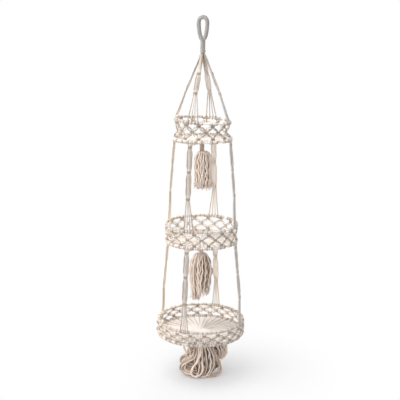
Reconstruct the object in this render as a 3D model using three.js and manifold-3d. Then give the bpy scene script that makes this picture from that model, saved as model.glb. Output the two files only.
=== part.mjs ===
// Hanging rope shelf: three knotted cord baskets carried one under the other by four cord legs.
// Millimetres, +Z up. The origin is the top of the loop's eye, where a hook bears, and the legs
// stand on the X and Y axes.

import * as THREE from "three";
import { mergeVertices } from "three/addons/utils/BufferGeometryUtils.js";
import Module from "manifold-3d";

const wasm = await Module();
wasm.setup();

// Driving dimensions, all in millimetres

const CLEARANCE = 0.3;
const WELD_DISTANCE = 1e-4;

const LOOP = {
  strandDiameter: 12.6,
  eyeLength: 60,
  eyeWidth: 16.6,
  strandSpread: 11.6,
  gatherWidth: 19,
  gatherDepth: 13,
  gatherHeight: 17,
};

const NECK = {
  length: 36.4,
  coreDiameter: 7.8,
  wrapCordDiameter: 3.3,
  wrapGap: 0.45,
  tailLength: 4,
};

const CORD = {
  diameter: 4.2,
  openPitch: 4.8,
};

const LEG_KNOT = {
  width: 17,
  depth: 10,
  height: 13,
};

const HITCH = {
  gap: 1,
  thickness: 3,
};

const HOOP = {
  cordedDiameter: 10,
};

const NET = {
  knotWidth: 16,
  knotHeight: 10,
  knotDepth: 8,
  strandWidth: 6,
  strandDepth: 4.6,
};

const FLOOR = {
  thickness: 4.2,
  spokeWidth: 4.2,
};

const TASSEL = {
  stemDiameter: 14,
  bindingDiameter: 19,
  bindingLength: 10,
};

const UPPER_LEG = {
  drop: 219.7,
  spreadPitch: 5.4,
  gatherDiameter: 4.6,
  gatherLength: 26,
  gatherSpread: 12,
  knotDrops: [67, 128],
};

const TOP_BASKET = {
  name: "top",
  upperDiameter: 193,
  lowerDiameter: 201.6,
  height: 61.8,
  waistDepth: 12,
  netStandOut: 2,
  columns: 12,
  spokes: 36,
};

const MIDDLE_LEG = {
  drop: 289.8,
  spreadPitch: 7.6,
  firstKnotTight: true,
  knotDrops: [15, 95, 182],
};

const MIDDLE_BASKET = {
  name: "middle",
  upperDiameter: 249,
  lowerDiameter: 247.2,
  height: 56.8,
  waistDepth: 3,
  netStandOut: 3,
  columns: 16,
  spokes: 48,
};

const LOWER_LEG = {
  drop: 281.3,
  spreadPitch: 7,
  firstKnotTight: true,
  knotDrops: [15, 96, 185],
};

const BOTTOM_BASKET = {
  name: "bottom",
  upperDiameter: 299,
  lowerDiameter: 300,
  height: 44.7,
  waistDepth: 2,
  netStandOut: 5,
  columns: 20,
  spokes: 60,
};

const TOP_TASSEL = {
  name: "top",
  stemLength: 42,
  skirtLength: 128,
  width: 70,
  lobes: 15,
};

const MIDDLE_TASSEL = {
  name: "middle",
  stemLength: 47,
  skirtLength: 165,
  width: 78,
  lobes: 15,
};

const BOTTOM_TASSEL = {
  name: "bottom",
  stemLength: 26,
  skirtLength: 126.6,
  width: 124,
  lobes: 18,
  lean: 22,
};

// Shapes of the outlines, as shares of the sizes they follow

const LOOP_WIDTH_SHARES = [0.5, 0.62, 0.86, 1, 0.96, 0.66, 0];
const LOOP_HEIGHT_SHARES = [1, 0.86, 0.6, 0.38, 0.2, 0.05, 0];
const HANGING_SKIRT_SHARES = [
  { out: 0.3, down: 0, lean: 0 },
  { out: 0.6, down: -0.03, lean: 0 },
  { out: 0.88, down: 0.05, lean: 0 },
  { out: 1, down: 0.28, lean: 0 },
  { out: 0.98, down: 0.6, lean: 0 },
  { out: 0.9, down: 0.84, lean: 0 },
  { out: 0.8, down: 1, lean: 0 },
];
const RESTING_SKIRT_SHARES = [
  { out: 0.16, down: 0, lean: 0 },
  { out: 0.5, down: -0.02, lean: 0.3 },
  { out: 0.78, down: 0.1, lean: 0.9 },
  { out: 0.8, down: 0.4, lean: 1 },
  { out: 0.86, down: 0.72, lean: 0.6 },
  { out: 1, down: 0.93, lean: 0.2 },
  { out: 0.98, down: 1, lean: 0.2 },
];
const LOBE_DEPTH_SHARE = 0.12;
const NET_TURN_SHARES = [0.5, 0];
const NET_PORT_SHARE = 0.8;
const FLOOR_VALLEY_SHARE = 1.02;
const HALFWAY_SHARE = 0.5;
const BINDING_TAPER_SHARE = 0.25;
const NET_ROW_COUNT = 3;
const HITCH_UNDER_DEGREES = [0, -50, -100, -150];
const HITCH_OVER_DEGREES = [130, 85, 40, 0];
const LEG_ANGLES = { front: -Math.PI / 2, right: 0, back: Math.PI / 2, left: Math.PI };

// Counts that set how fine the facets are

const LOOP_SIDES = 8;
const LOOP_STEPS = 24;
const HOOP_SIDES = 6;
const HOOP_STEPS = 36;
const WRAP_SIDES = 6;
const WRAP_STEPS_PER_TURN = 16;
const WRAP_SAMPLES_PER_TURN = 48;
const ROUND_SIDES = 12;
const BALL_STEPS = 8;
const NECK_DOME_STEPS = 4;
const STEM_DOME_STEPS = 3;

// Materials, one of its own for each piece

const COLOURS = {
  cotton: { color: 0xe6ddd0, roughness: 0.92, metalness: 0 },
  shadedCotton: { color: 0xd9cdbd, roughness: 0.92, metalness: 0 },
  wrapCotton: { color: 0xc9c4bc, roughness: 0.85, metalness: 0 },
};

function piece(name, geometry, finish) {
  const mesh = new THREE.Mesh(geometry, new THREE.MeshStandardMaterial(COLOURS[finish]));
  mesh.name = name;
  return mesh;
}

// Solid helpers

function merged(geometry) {
  const bare = geometry.clone();
  bare.deleteAttribute("normal");
  bare.deleteAttribute("uv");
  return mergeVertices(bare, WELD_DISTANCE);
}

function toManifold(geometry) {
  const welded = merged(geometry);
  return new wasm.Manifold(
    new wasm.Mesh({
      numProp: 3,
      vertProperties: new Float32Array(welded.attributes.position.array),
      triVerts: new Uint32Array(welded.index.array),
    }),
  );
}

function toGeometry(solid) {
  const mesh = solid.getMesh();
  const geometry = new THREE.BufferGeometry();
  geometry.setAttribute("position", new THREE.BufferAttribute(mesh.vertProperties, 3));
  geometry.setIndex(new THREE.BufferAttribute(mesh.triVerts, 1));
  return geometry;
}

function joined(geometries) {
  return toGeometry(geometries.map(toManifold).reduce((whole, next) => whole.add(next)));
}

function ringShape(radius, sides) {
  const shape = new THREE.Shape();
  for (let i = 0; i < sides; i += 1) {
    const angle = (2 * Math.PI * i) / sides;
    const x = radius * Math.cos(angle);
    const y = radius * Math.sin(angle);
    if (i === 0) shape.moveTo(x, y);
    else shape.lineTo(x, y);
  }
  shape.closePath();
  return shape;
}

function tube(curve, diameter, sides, steps) {
  return new THREE.ExtrudeGeometry(ringShape(diameter / 2, sides), {
    extrudePath: curve,
    steps,
    curveSegments: 1,
    bevelEnabled: false,
  });
}

function ellipsoid(width, depth, height, around, down) {
  const ball = new THREE.SphereGeometry(1, around, down);
  ball.rotateX(Math.PI / 2);
  ball.scale(width / 2, depth / 2, height / 2);
  return ball;
}

// The rounded end of a lathed piece, from its side up to the axis
function dome(radius, centreZ, steps) {
  const points = [];
  for (let i = 0; i < steps; i += 1) {
    const angle = (i / steps) * (Math.PI / 2);
    points.push(new THREE.Vector2(radius * Math.cos(angle), centreZ + radius * Math.sin(angle)));
  }
  points.push(new THREE.Vector2(0, centreZ + radius));
  return points;
}

function fromFacets(points, faces) {
  const geometry = new THREE.BufferGeometry();
  geometry.setAttribute("position", new THREE.Float32BufferAttribute(points, 3));
  geometry.setIndex(faces);
  return geometry;
}

// Places down the length of the shelf

function addBasket(basket, upperHoopZ) {
  const half = HOOP.cordedDiameter / 2;
  return {
    ...basket,
    upperZ: upperHoopZ,
    lowerZ: upperHoopZ - basket.height,
    upperRadius: basket.upperDiameter / 2 - half,
    lowerRadius: basket.lowerDiameter / 2 - half,
  };
}

const loopBottomZ = -LOOP.eyeLength - LOOP.gatherHeight / 2;
const neckTopZ = loopBottomZ - CLEARANCE;
const swingZ = neckTopZ - NECK.coreDiameter / 2;
const neckBottomZ = neckTopZ - NECK.length;
const legTopZ = neckBottomZ - CLEARANCE;
const topBasket = addBasket(TOP_BASKET, legTopZ - UPPER_LEG.drop);
const middleBasket = addBasket(MIDDLE_BASKET, topBasket.lowerZ - MIDDLE_LEG.drop);
const bottomBasket = addBasket(BOTTOM_BASKET, middleBasket.lowerZ - LOWER_LEG.drop);

// Hanging loop: a corded strand bent round a tear-shaped eye, its ends gathered at the bottom

function loopCurve() {
  const half = LOOP.strandDiameter / 2;
  const widest = LOOP.eyeWidth / 2 + half;
  const right = LOOP_WIDTH_SHARES.map((share, i) => {
    const x = i === 0 ? LOOP.strandSpread / 2 : widest * share;
    const z = half - (LOOP.eyeLength + half) * LOOP_HEIGHT_SHARES[i];
    return new THREE.Vector3(x, 0, z);
  });
  const left = right.slice(0, -1).reverse().map((p) => new THREE.Vector3(-p.x, 0, p.z));
  return new THREE.CatmullRomCurve3([...right, ...left], false, "centripetal");
}

function hangingLoop() {
  const strand = tube(loopCurve(), LOOP.strandDiameter, LOOP_SIDES, LOOP_STEPS);
  const { gatherWidth, gatherDepth, gatherHeight } = LOOP;
  const gather = ellipsoid(gatherWidth, gatherDepth, gatherHeight, ROUND_SIDES, BALL_STEPS);
  gather.translate(0, 0, -LOOP.eyeLength);
  return piece("hanging_loop", joined([strand, gather]), "wrapCotton");
}

// Neck: the gathered cords, round at the top where they bend, inside a binding of turns

function neckCore() {
  const radius = NECK.coreDiameter / 2;
  const profile = [
    new THREE.Vector2(0, neckBottomZ),
    new THREE.Vector2(radius, neckBottomZ),
    ...dome(radius, swingZ, NECK_DOME_STEPS),
  ];
  const solid = new THREE.LatheGeometry(profile, ROUND_SIDES);
  solid.rotateX(Math.PI / 2);
  return piece("neck_core", solid, "cotton");
}

class BindingCurve extends THREE.Curve {
  constructor(radius, pitch, turns, topZ, tail) {
    super();
    Object.assign(this, { radius, pitch, turns, topZ, tail });
    this.turnLength = Math.hypot(2 * Math.PI * radius, pitch);
    this.length = 2 * tail + turns * this.turnLength;
  }

  place(turn) {
    const angle = 2 * Math.PI * turn;
    return new THREE.Vector3(
      this.radius * Math.cos(angle),
      this.radius * Math.sin(angle),
      this.topZ - this.pitch * turn,
    );
  }

  heading(turn) {
    const angle = 2 * Math.PI * turn;
    const fall = this.pitch / (2 * Math.PI * this.radius);
    return new THREE.Vector3(-Math.sin(angle), Math.cos(angle), -fall).normalize();
  }

  getPoint(share) {
    const along = share * this.length - this.tail;
    const wound = this.turns * this.turnLength;
    if (along < 0) return this.place(0).addScaledVector(this.heading(0), along);
    if (along > wound) {
      return this.place(this.turns).addScaledVector(this.heading(this.turns), along - wound);
    }
    return this.place(along / this.turnLength);
  }
}

function leastGapBetweenTurns(curve, diameter) {
  const samples = Math.round(curve.turns * WRAP_SAMPLES_PER_TURN);
  const points = curve.getPoints(samples);
  const skip = Math.round(samples / curve.turns / 2);
  let least = Infinity;
  for (let i = 0; i < points.length; i += 1) {
    for (let j = i + skip; j < points.length; j += 1) {
      least = Math.min(least, points[i].distanceTo(points[j]));
    }
  }
  return least - diameter;
}

function neckWrap() {
  const pitch = NECK.wrapCordDiameter + NECK.wrapGap;
  const radius = (NECK.coreDiameter + NECK.wrapCordDiameter) / 2 + CLEARANCE;
  const tailDrop = (NECK.tailLength * pitch) / (2 * Math.PI * radius);
  const room = swingZ - neckBottomZ - NECK.wrapCordDiameter - 2 * tailDrop;
  const turns = Math.floor(room / pitch);
  const topZ = neckBottomZ + NECK.wrapCordDiameter / 2 + tailDrop + turns * pitch;
  const curve = new BindingCurve(radius, pitch, turns, topZ, NECK.tailLength);
  console.log(`neck_wrap least gap ${leastGapBetweenTurns(curve, NECK.wrapCordDiameter).toFixed(3)} mm`);
  const steps = Math.round(turns * WRAP_STEPS_PER_TURN + 2);
  return piece("neck_wrap", tube(curve, NECK.wrapCordDiameter, WRAP_SIDES, steps), "wrapCotton");
}

// Legs: four cords side by side, tied at square knots and hitched round the hoops at their ends.
// A leg is built as rows of corners across the four cords. Between knots each cord runs by itself.

const CORDS_IN_LEG = 4;
const ROW_EDGES = CORDS_IN_LEG + 1;

function addRow(mesh, place) {
  const first = mesh.points.length / 3;
  for (const reach of [place.depth / 2, -place.depth / 2]) {
    for (let edge = 0; edge < ROW_EDGES; edge += 1) {
      const across = (edge - CORDS_IN_LEG / 2) * place.pitch;
      const radius = place.radius + reach * place.outX;
      const turn = place.bendRadius ? across / place.bendRadius : 0;
      const x = place.bendRadius ? radius * Math.cos(turn) : radius;
      const y = place.bendRadius ? radius * Math.sin(turn) : across;
      mesh.points.push(x, y, place.z + reach * place.outZ);
    }
  }
  return first;
}

function addQuad(mesh, a, b, c, d) {
  mesh.faces.push(a, b, c, a, c, d);
}

function joinRows(mesh, upper, lower) {
  for (let edge = 0; edge < CORDS_IN_LEG; edge += 1) {
    const next = edge + 1;
    const back = edge + ROW_EDGES;
    const backNext = next + ROW_EDGES;
    addQuad(mesh, upper + edge, lower + edge, lower + next, upper + next);
    addQuad(mesh, upper + backNext, lower + backNext, lower + back, upper + back);
  }
  const last = CORDS_IN_LEG;
  addQuad(mesh, upper + last, lower + last, lower + last + ROW_EDGES, upper + last + ROW_EDGES);
  addQuad(mesh, upper + ROW_EDGES, lower + ROW_EDGES, lower, upper);
}

function cordCorners(row, cord) {
  const left = row + cord;
  const right = left + 1;
  return [left, right, right + ROW_EDGES, left + ROW_EDGES];
}

function capRow(mesh, row, facesUp) {
  for (let cord = 0; cord < CORDS_IN_LEG; cord += 1) {
    const corners = cordCorners(row, cord);
    addQuad(mesh, ...(facesUp ? corners : corners.reverse()));
  }
}

function addCordMiddle(mesh, place, lane) {
  const first = mesh.points.length / 3;
  const centre = (lane - (CORDS_IN_LEG - 1) / 2) * place.pitch;
  const half = CORD.diameter / 2;
  for (const [out, across] of [[half, -half], [half, half], [-half, half], [-half, -half]]) {
    mesh.points.push(place.radius + out * place.outX, centre + across, place.z + out * place.outZ);
  }
  return first;
}

function spreadRows(mesh, upper, lower, middle) {
  for (let cord = 0; cord < CORDS_IN_LEG; cord += 1) {
    const above = cordCorners(upper, cord);
    const below = cordCorners(lower, cord);
    const first = addCordMiddle(mesh, middle, cord);
    const ring = above.map((corner, i) => first + i);
    for (let i = 0; i < ring.length; i += 1) {
      const next = (i + 1) % ring.length;
      addQuad(mesh, above[i], ring[i], ring[next], above[next]);
      addQuad(mesh, ring[i], below[i], below[next], ring[next]);
    }
  }
}

function hitchRadius() {
  return (HOOP.cordedDiameter + HITCH.thickness) / 2 + HITCH.gap;
}

function hitchPlace(hoopRadius, hoopZ, degrees, pitch) {
  const angle = THREE.MathUtils.degToRad(degrees);
  const outX = Math.cos(angle);
  const outZ = Math.sin(angle);
  return {
    radius: hoopRadius + hitchRadius() * outX,
    z: hoopZ + hitchRadius() * outZ,
    pitch,
    depth: HITCH.thickness,
    bendRadius: hoopRadius,
    outX,
    outZ,
  };
}

function betweenPlaces(a, b, share, pitch) {
  const radius = a.radius + (b.radius - a.radius) * share;
  const z = a.z + (b.z - a.z) * share;
  return { radius, z, pitch, outX: 1, outZ: 0 };
}

function knotRows(mesh, start, end, drop, topZ) {
  const share = (start.z - topZ + drop) / (start.z - end.z);
  const half = LEG_KNOT.height / 2 / (start.z - end.z);
  const pitch = LEG_KNOT.width / CORDS_IN_LEG;
  return [share - half, share + half].map((at) => {
    const place = { ...betweenPlaces(start, end, at, pitch), depth: LEG_KNOT.depth };
    return { row: addRow(mesh, place), place };
  });
}

function legPiece(name, angle, topRows, start, end, sizes, topZ, endRows) {
  const mesh = { points: [], faces: [] };
  const head = topRows.map((place) => addRow(mesh, place));
  capRow(mesh, head[0], true);
  for (let i = 1; i < head.length; i += 1) joinRows(mesh, head[i - 1], head[i]);
  let above = { row: head[head.length - 1], place: start };
  sizes.knotDrops.forEach((drop, i) => {
    const [upper, lower] = knotRows(mesh, start, end, drop, topZ);
    if (i === 0 && sizes.firstKnotTight) {
      joinRows(mesh, above.row, upper.row);
    } else {
      const middle = betweenPlaces(above.place, upper.place, HALFWAY_SHARE, CORD.openPitch);
      spreadRows(mesh, above.row, upper.row, middle);
    }
    joinRows(mesh, upper.row, lower.row);
    above = lower;
  });
  const tail = endRows.map((place) => addRow(mesh, place));
  const fanPitch = (CORD.openPitch + sizes.spreadPitch) / 2;
  spreadRows(mesh, above.row, tail[0], betweenPlaces(above.place, end, HALFWAY_SHARE, fanPitch));
  for (let i = 1; i < tail.length; i += 1) joinRows(mesh, tail[i - 1], tail[i]);
  capRow(mesh, tail[tail.length - 1], false);
  const geometry = fromFacets(mesh.points, mesh.faces);
  geometry.rotateZ(angle);
  return piece(name, geometry, "cotton");
}

function hitchUnder(basket, pitch) {
  return HITCH_UNDER_DEGREES.map((at) => hitchPlace(basket.upperRadius, basket.upperZ, at, pitch));
}

function hitchOver(basket) {
  return HITCH_OVER_DEGREES.map((at) => hitchPlace(basket.lowerRadius, basket.lowerZ, at, CORD.openPitch));
}

function upperLeg(side, angle) {
  const tail = hitchUnder(topBasket, UPPER_LEG.spreadPitch);
  const gather = {
    pitch: UPPER_LEG.gatherDiameter / CORDS_IN_LEG,
    depth: UPPER_LEG.gatherDiameter,
    outX: 1,
    outZ: 0,
  };
  const besideAxis = UPPER_LEG.gatherDiameter + CLEARANCE;
  const head = [
    { ...gather, radius: besideAxis, z: legTopZ },
    { ...gather, radius: besideAxis, z: legTopZ - UPPER_LEG.gatherDiameter / 2 },
    {
      ...gather,
      radius: UPPER_LEG.gatherSpread,
      z: legTopZ - UPPER_LEG.gatherLength,
      pitch: CORD.diameter,
      depth: CORD.diameter,
    },
  ];
  return legPiece(`upper_cords_${side}`, angle, head, head[2], tail[0], UPPER_LEG, legTopZ, tail);
}

function spanLeg(prefix, side, angle, above, below, sizes) {
  const head = hitchOver(above);
  const tail = hitchUnder(below, sizes.spreadPitch);
  const start = head[head.length - 1];
  return legPiece(`${prefix}_cords_${side}`, angle, head, start, tail[0], sizes, above.lowerZ, tail);
}

// Baskets: two corded hoops, a knotted net between them and a floor of cords

function hoop(name, radius, z) {
  const ring = new THREE.TorusGeometry(radius, HOOP.cordedDiameter / 2, HOOP_SIDES, HOOP_STEPS);
  ring.translate(0, 0, z);
  return piece(name, ring, "shadedCotton");
}

function netRows(basket) {
  const reach = HOOP.cordedDiameter / 2 + CLEARANCE + NET.knotHeight / 2;
  const top = basket.upperZ - reach;
  const bottom = basket.lowerZ + reach;
  const rows = [];
  for (let row = 0; row < NET_ROW_COUNT; row += 1) {
    const share = row / (NET_ROW_COUNT - 1);
    const straight = basket.upperRadius + (basket.lowerRadius - basket.upperRadius) * share;
    rows.push({
      z: top + (bottom - top) * share,
      radius: straight + basket.netStandOut - basket.waistDepth * Math.sin(Math.PI * share),
      turn: NET_TURN_SHARES[row % NET_TURN_SHARES.length],
    });
  }
  return rows;
}

// A knot is an eight-sided block whose slanted sides are the four places where strands leave it
function knotCorners() {
  const w = NET.knotWidth / 2;
  const h = NET.knotHeight / 2;
  const across = NET.strandWidth * Math.SQRT1_2;
  const rise = Math.min(across, h * NET_PORT_SHARE);
  return [
    [w, -(h - rise)],
    [w, h - rise],
    [w - across, h],
    [-(w - across), h],
    [-w, h - rise],
    [-w, -(h - rise)],
    [-(w - across), -h],
    [w - across, -h],
  ];
}

const KNOT_SIDES = 8;
const PORT = { upRight: 1, upLeft: 3, downLeft: 5, downRight: 7 };

function addKnot(net, row, angle) {
  const first = net.points.length / 3;
  for (const depth of [NET.strandDepth / 2, -NET.strandDepth / 2]) {
    for (const [across, up] of knotCorners()) addNetPoint(net, row.radius, angle, across, up + row.z, depth);
  }
  const crown = first + 2 * KNOT_SIDES;
  const crownBehind = crown + 1;
  addNetPoint(net, row.radius, angle, 0, row.z, NET.knotDepth / 2);
  addNetPoint(net, row.radius, angle, 0, row.z, -NET.knotDepth / 2);
  for (let i = 0; i < KNOT_SIDES; i += 1) {
    const next = (i + 1) % KNOT_SIDES;
    net.faces.push(first + i, first + next, crown);
    net.faces.push(first + KNOT_SIDES + next, first + KNOT_SIDES + i, crownBehind);
  }
  return first;
}

function addNetPoint(net, radius, angle, across, z, depth) {
  const out = radius + depth;
  net.points.push(out * Math.cos(angle) - across * Math.sin(angle));
  net.points.push(out * Math.sin(angle) + across * Math.cos(angle));
  net.points.push(z);
}

function sideCorners(first, i) {
  const next = (i + 1) % KNOT_SIDES;
  return [first + i, first + next, first + KNOT_SIDES + next, first + KNOT_SIDES + i];
}

function closeSide(net, first, i) {
  const [a, b, c, d] = sideCorners(first, i);
  net.faces.push(a, c, b, a, d, c);
}

function addStrand(net, upper, upperSide, lower, lowerSide) {
  const [a, b, c, d] = sideCorners(upper, upperSide);
  const [e, f, g, h] = sideCorners(lower, lowerSide);
  const top = [a, b, c, d];
  const bottom = [f, e, h, g];
  for (let i = 0; i < top.length; i += 1) {
    const next = (i + 1) % top.length;
    net.faces.push(top[i], bottom[next], top[next], top[i], bottom[i], bottom[next]);
  }
}

function basketNet(basket) {
  const net = { points: [], faces: [] };
  const rows = netRows(basket);
  const step = (2 * Math.PI) / basket.columns;
  const knots = rows.map((row) => {
    const firsts = [];
    for (let column = 0; column < basket.columns; column += 1) {
      firsts.push(addKnot(net, row, (column + row.turn) * step));
    }
    return firsts;
  });
  knots.forEach((firsts, row) => {
    firsts.forEach((first, column) => {
      for (let i = 0; i < KNOT_SIDES; i += 2) closeSide(net, first, i);
      if (row === 0) [PORT.upRight, PORT.upLeft].forEach((i) => closeSide(net, first, i));
      if (row === knots.length - 1) {
        [PORT.downRight, PORT.downLeft].forEach((i) => closeSide(net, first, i));
        return;
      }
      const shift = rows[row].turn > 0 ? 1 : 0;
      const below = knots[row + 1];
      const right = below[(column + shift) % basket.columns];
      const left = below[(column + shift - 1 + basket.columns) % basket.columns];
      addStrand(net, first, PORT.downRight, right, PORT.upLeft);
      addStrand(net, first, PORT.downLeft, left, PORT.upRight);
    });
  });
  return piece(`${basket.name}_basket_net`, fromFacets(net.points, net.faces), "cotton");
}

function basketFloor(basket) {
  const inside = basket.lowerRadius - HOOP.cordedDiameter / 2;
  const rim = inside * Math.cos(Math.PI / HOOP_STEPS) - CLEARANCE;
  const step = (2 * Math.PI) / basket.spokes;
  const half = FLOOR.spokeWidth / 2;
  const meet = half / Math.tan(step / 2);
  const valley = Math.hypot(meet, half) * FLOOR_VALLEY_SHARE;
  const shape = new THREE.Shape();
  for (let i = 0; i < basket.spokes; i += 1) {
    const angle = i * step;
    const cos = Math.cos(angle);
    const sin = Math.sin(angle);
    const first = new THREE.Vector2(rim * cos + half * sin, rim * sin - half * cos);
    if (i === 0) shape.moveTo(first.x, first.y);
    else shape.lineTo(first.x, first.y);
    shape.lineTo(rim * cos - half * sin, rim * sin + half * cos);
    shape.lineTo(valley * Math.cos(angle + step / 2), valley * Math.sin(angle + step / 2));
  }
  shape.closePath();
  const floor = new THREE.ExtrudeGeometry(shape, { depth: FLOOR.thickness, bevelEnabled: false });
  floor.translate(0, 0, basket.lowerZ - FLOOR.thickness / 2);
  return piece(`${basket.name}_basket_floor`, floor, "cotton");
}

// Tassels: the floor's cords gathered into a stem, bound, and let fall as a skirt of strands

function tasselStem(tassel, basket) {
  const radius = TASSEL.stemDiameter / 2;
  const binding = TASSEL.bindingDiameter / 2;
  const topZ = basket.lowerZ - FLOOR.thickness / 2 - CLEARANCE;
  const bottomZ = topZ - tassel.stemLength;
  const bindingTopZ = bottomZ + TASSEL.bindingLength;
  const taper = TASSEL.bindingLength * BINDING_TAPER_SHARE;
  const profile = [
    new THREE.Vector2(0, bottomZ),
    new THREE.Vector2(radius, bottomZ),
    new THREE.Vector2(binding, bottomZ + taper),
    new THREE.Vector2(binding, bindingTopZ - taper),
    new THREE.Vector2(radius, bindingTopZ),
    ...dome(radius, topZ - radius, STEM_DOME_STEPS),
  ];
  const stem = new THREE.LatheGeometry(profile, ROUND_SIDES);
  stem.rotateX(Math.PI / 2);
  return piece(`${tassel.name}_tassel_stem`, stem, "wrapCotton");
}

function tasselSkirt(tassel, basket, shares) {
  const topZ = basket.lowerZ - FLOOR.thickness / 2 - 2 * CLEARANCE - tassel.stemLength;
  const half = tassel.width / 2;
  const outline = [{ out: 0, down: 1, lean: 0 }, ...[...shares].reverse(), { out: 0, down: 0, lean: 0 }];
  outline[0].lean = outline[1].lean;
  const profile = outline.map((p) => new THREE.Vector2(half * p.out, topZ - tassel.skirtLength * p.down));
  const skirt = new THREE.LatheGeometry(profile, 2 * tassel.lobes);
  skirt.rotateX(Math.PI / 2);
  const place = skirt.attributes.position;
  const groove = 1 - 2 * LOBE_DEPTH_SHARE;
  for (let i = 0; i < place.count; i += 1) {
    const angle = Math.atan2(place.getX(i), -place.getY(i));
    const lobe = Math.round((angle / Math.PI) * tassel.lobes);
    const share = lobe % 2 === 0 ? 1 : groove;
    const lean = (tassel.lean ?? 0) * outline[i % outline.length].lean;
    place.setXY(i, place.getX(i) * share + lean, place.getY(i) * share);
  }
  return piece(`${tassel.name}_tassel_skirt`, skirt, "shadedCotton");
}

// The whole shelf

function basketPieces(basket) {
  const name = `${basket.name}_basket`;
  return [
    hoop(`${name}_upper_hoop`, basket.upperRadius, basket.upperZ),
    hoop(`${name}_lower_hoop`, basket.lowerRadius, basket.lowerZ),
    basketNet(basket),
    basketFloor(basket),
  ];
}

const shelf = new THREE.Group();
shelf.add(hangingLoop(), neckCore(), neckWrap());
for (const [sideName, angle] of Object.entries(LEG_ANGLES)) {
  shelf.add(upperLeg(sideName, angle));
  shelf.add(spanLeg("middle", sideName, angle, topBasket, middleBasket, MIDDLE_LEG));
  shelf.add(spanLeg("lower", sideName, angle, middleBasket, bottomBasket, LOWER_LEG));
}
for (const basket of [topBasket, middleBasket, bottomBasket]) shelf.add(...basketPieces(basket));
shelf.add(tasselStem(TOP_TASSEL, topBasket), tasselSkirt(TOP_TASSEL, topBasket, HANGING_SKIRT_SHARES));
shelf.add(
  tasselStem(MIDDLE_TASSEL, middleBasket),
  tasselSkirt(MIDDLE_TASSEL, middleBasket, HANGING_SKIRT_SHARES),
);
shelf.add(
  tasselStem(BOTTOM_TASSEL, bottomBasket),
  tasselSkirt(BOTTOM_TASSEL, bottomBasket, RESTING_SKIRT_SHARES),
);

export default shelf;
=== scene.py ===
import collections
import functools
import random
from math import atan2, copysign, cos, degrees, pi, radians, sin, tau

import bmesh
import bpy
import numpy as np
from bpy.props import FloatProperty, FloatVectorProperty, PointerProperty
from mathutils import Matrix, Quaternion, Vector

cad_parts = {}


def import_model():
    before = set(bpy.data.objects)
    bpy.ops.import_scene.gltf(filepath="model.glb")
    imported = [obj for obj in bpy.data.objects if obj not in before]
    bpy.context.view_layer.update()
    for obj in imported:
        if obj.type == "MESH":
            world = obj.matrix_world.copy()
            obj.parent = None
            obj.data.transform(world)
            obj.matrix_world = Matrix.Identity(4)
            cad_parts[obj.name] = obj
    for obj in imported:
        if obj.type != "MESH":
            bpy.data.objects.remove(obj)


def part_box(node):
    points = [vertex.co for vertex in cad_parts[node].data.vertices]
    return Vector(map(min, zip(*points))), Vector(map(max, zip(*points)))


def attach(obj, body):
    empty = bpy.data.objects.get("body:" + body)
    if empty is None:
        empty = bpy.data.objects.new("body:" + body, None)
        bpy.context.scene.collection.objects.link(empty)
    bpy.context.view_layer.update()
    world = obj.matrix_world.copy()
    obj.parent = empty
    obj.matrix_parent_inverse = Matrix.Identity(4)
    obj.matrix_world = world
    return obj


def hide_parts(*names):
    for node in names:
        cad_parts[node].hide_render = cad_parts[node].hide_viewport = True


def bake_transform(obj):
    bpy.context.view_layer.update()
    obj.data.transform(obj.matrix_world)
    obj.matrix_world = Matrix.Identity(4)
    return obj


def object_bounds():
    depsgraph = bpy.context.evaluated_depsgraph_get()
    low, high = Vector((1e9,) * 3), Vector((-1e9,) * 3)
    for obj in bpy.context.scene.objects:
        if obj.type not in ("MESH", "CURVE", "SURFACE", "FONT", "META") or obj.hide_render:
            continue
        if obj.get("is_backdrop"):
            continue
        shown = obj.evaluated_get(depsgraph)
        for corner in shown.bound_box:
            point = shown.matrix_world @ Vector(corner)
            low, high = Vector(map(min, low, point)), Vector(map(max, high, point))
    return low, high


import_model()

bl_info = {
    "name": "Hanging rope shelf",
    "version": (1, 0, 0),
    "blender": (4, 5, 0),
    "location": "View3D > Sidebar > Rope shelf",
    "description": "Ties the cords, nets, floors and tassels of a three-tier hanging shelf",
    "category": "Object",
}

# Where the CAD puts things

TIERS = ("top", "middle", "bottom")
SIDES = {"front": -90, "right": 0, "back": 90, "left": 180}
SPANS = ("upper", "middle", "lower")


def by(names, *values):
    """A value for each name."""
    return dict(zip(names, values))


COLUMNS = by(TIERS, 12, 16, 20)
# Where a basket's hoops are beaded and its net is loose, in degrees
BEADED = by(TIERS, (95, 290), (90, 300), (0, 360))
WAIST = by(TIERS, 0.012, 0.003, 0.002)
HOOP_TUBE = 0.005


@functools.cache
def hoop_place(tier, which):
    """Radius of the middle of a hoop's tube, and its height."""
    low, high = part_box(f"{tier}_basket_{which}_hoop")
    return high[0] - HOOP_TUBE, (low[2] + high[2]) / 2


def hoop_places(tier):
    return hoop_place(tier, "upper"), hoop_place(tier, "lower")


# The photograph's point of view

VIEW_AZIMUTH = radians(22.5)
VIEW_PITCH = radians(12.67)
VIEW_DISTANCE = 2.821
VIEW_HEIGHT = 0.039
VIEW_SIDE = -0.0052
VIEW_ROLL = radians(0.45)
LENS = 77.36
SENSOR = 36.0


def around(angle, radius, z, across=0.0):
    """A place out from the shelf's axis along an angle, and sideways from there."""
    along, aside = cos(angle), sin(angle)
    return np.array([radius * along - across * aside, radius * aside + across * along, z])


def seen(right, near, z):
    """A place given as the camera sees it: to its right, towards it, and up."""
    return around(VIEW_AZIMUTH, right, z, -near)


def placed(name, data):
    """A new object in the scene."""
    thing = bpy.data.objects.new(name, data)
    bpy.context.collection.objects.link(thing)
    return thing


# Shader nodes written as arithmetic


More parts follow.
